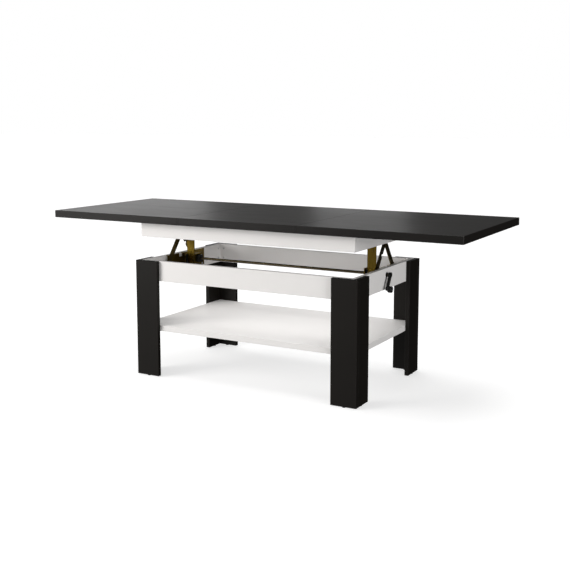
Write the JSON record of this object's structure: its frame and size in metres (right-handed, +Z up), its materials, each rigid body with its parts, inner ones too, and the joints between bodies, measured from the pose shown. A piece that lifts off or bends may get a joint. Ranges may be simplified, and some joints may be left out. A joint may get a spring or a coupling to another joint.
{
  "type": "height-adjustable coffee table",
  "caption": "Low rectangular table with a crank-driven rack lift under an extending dark top, L-shaped corner legs, a white box apron and an open shelf.",
  "frame": {"origin": "on the floor, under the middle of the table top", "axes": "+X along the length to the crank end, +Y to the back, +Z up"},
  "size_m": [1.7, 0.64, 0.63],
  "materials": {
    "black_top": "black matt laminate on board",
    "black_board": "matt black laminate on board",
    "white_board": "matt white laminate on board",
    "beech": "bare beech",
    "yellow_zinc": "yellow-passivated zinc",
    "dark_zinc": "dark olive-passivated zinc",
    "bright_zinc": "bright zinc",
    "black_steel": "black powder coat",
    "black_plastic": "matt moulded",
    "rail_alloy": "mill"
  },
  "bodies": {
    "base": {"front_left_leg_face": "black_board", "front_left_leg_side": "black_board", "front_right_leg_face": "black_board", "front_right_leg_side": "black_board", "rear_left_leg_face": "black_board", "rear_left_leg_side": "black_board", "rear_right_leg_face": "black_board", "rear_right_leg_side": "black_board", "leg_glides": "black_plastic", "leg_screws": "bright_zinc", "shelf_dowels": "beech", "shelf": "white_board", "lower_front_board": "white_board", "lower_rear_board": "white_board", "lower_left_board": "white_board", "lower_right_board": "white_board", "right_side_plate": "yellow_zinc", "left_side_plate": "yellow_zinc", "right_gear_bracket": "yellow_zinc", "left_gear_bracket": "yellow_zinc", "right_post_guides": "black_plastic", "left_post_guides": "black_plastic", "shaft_bushes": "black_plastic", "crank_bush": "black_plastic", "brake_clamp": "black_plastic", "lift_screws": "bright_zinc"},
    "crank": {"through_shaft": "yellow_zinc", "right_pinion": "yellow_zinc", "left_pinion": "yellow_zinc", "crank_arm": "black_steel", "grip_pin": "bright_zinc"},
    "grip": {"crank_grip": "black_plastic"},
    "lift": {"upper_front_board": "white_board", "upper_rear_board": "white_board", "upper_left_board": "white_board", "upper_right_board": "white_board", "right_upper_plate": "yellow_zinc", "left_upper_plate": "yellow_zinc", "apex_pins": "bright_zinc", "right_rack_post": "yellow_zinc", "left_rack_post": "yellow_zinc", "right_rack": "yellow_zinc", "left_rack": "yellow_zinc", "right_post_angle": "yellow_zinc", "left_post_angle": "yellow_zinc", "front_guide_rail": "rail_alloy", "rear_guide_rail": "rail_alloy", "upper_corner_blocks": "white_board", "upper_screws": "bright_zinc"},
    "right_front_arm": {"right_front_arm": "dark_zinc"},
    "right_rear_arm": {"right_rear_arm": "dark_zinc"},
    "left_front_arm": {"left_front_arm": "dark_zinc"},
    "left_rear_arm": {"left_rear_arm": "dark_zinc"},
    "left_top": {"left_top_half": "black_top", "left_runners": "black_plastic"},
    "right_top": {"right_top_half": "black_top", "right_runners": "black_plastic"},
    "insert": {"insert_leaf": "black_top"}
  },
  "joints": [
    {"name": "lift_slide", "type": "slide", "parent": "base", "child": "lift", "axis": [0, 0, 1], "range_m": [-0.09, 0]},
    {"name": "crank_turn", "type": "hinge", "parent": "base", "child": "crank", "pos_m": [0, 0, 0.429], "axis": [1, 0, 0], "range_deg": [-1, 573.96]},
    {"name": "grip_spin", "type": "hinge", "parent": "crank", "child": "grip", "pos_m": [0.46, -0.02915, 0.38048], "axis": [1, 0, 0], "continuous": true},
    {"name": "left_half_slide", "type": "slide", "parent": "lift", "child": "left_top", "axis": [-1, 0, 0], "range_m": [0, 0.03]},
    {"name": "right_half_slide", "type": "slide", "parent": "lift", "child": "right_top", "axis": [1, 0, 0], "range_m": [0, 0.03]},
    {"name": "insert_lift_out", "type": "slide", "parent": "lift", "child": "insert", "axis": [0, 0, 1], "range_m": [0, 0.25]},
    {"name": "right_front_arm_swing", "type": "hinge", "parent": "lift", "child": "right_front_arm", "pos_m": [0.4265, 0.047, 0.54], "axis": [1, 0, 0], "range_deg": [-40.85, 0.5]},
    {"name": "right_rear_arm_swing", "type": "hinge", "parent": "lift", "child": "right_rear_arm", "pos_m": [0.4265, 0.047, 0.54], "axis": [1, 0, 0], "range_deg": [-0.5, 40.85]},
    {"name": "left_front_arm_swing", "type": "hinge", "parent": "lift", "child": "left_front_arm", "pos_m": [-0.4265, -0.047, 0.54], "axis": [1, 0, 0], "range_deg": [-40.85, 0.5]},
    {"name": "left_rear_arm_swing", "type": "hinge", "parent": "lift", "child": "left_rear_arm", "pos_m": [-0.4265, -0.047, 0.54], "axis": [1, 0, 0], "range_deg": [-0.5, 40.85]}
  ],
  "couplings": [
    {"joint": "crank_turn", "follows": "lift_slide", "rad_per_m": -111.11},
    {"joint": "right_front_arm_swing", "follows": "lift_slide", "rad_per_m": 7.8251},
    {"joint": "right_rear_arm_swing", "follows": "lift_slide", "rad_per_m": -7.8251},
    {"joint": "left_front_arm_swing", "follows": "lift_slide", "rad_per_m": 7.8251},
    {"joint": "left_rear_arm_swing", "follows": "lift_slide", "rad_per_m": -7.8251}
  ]
}
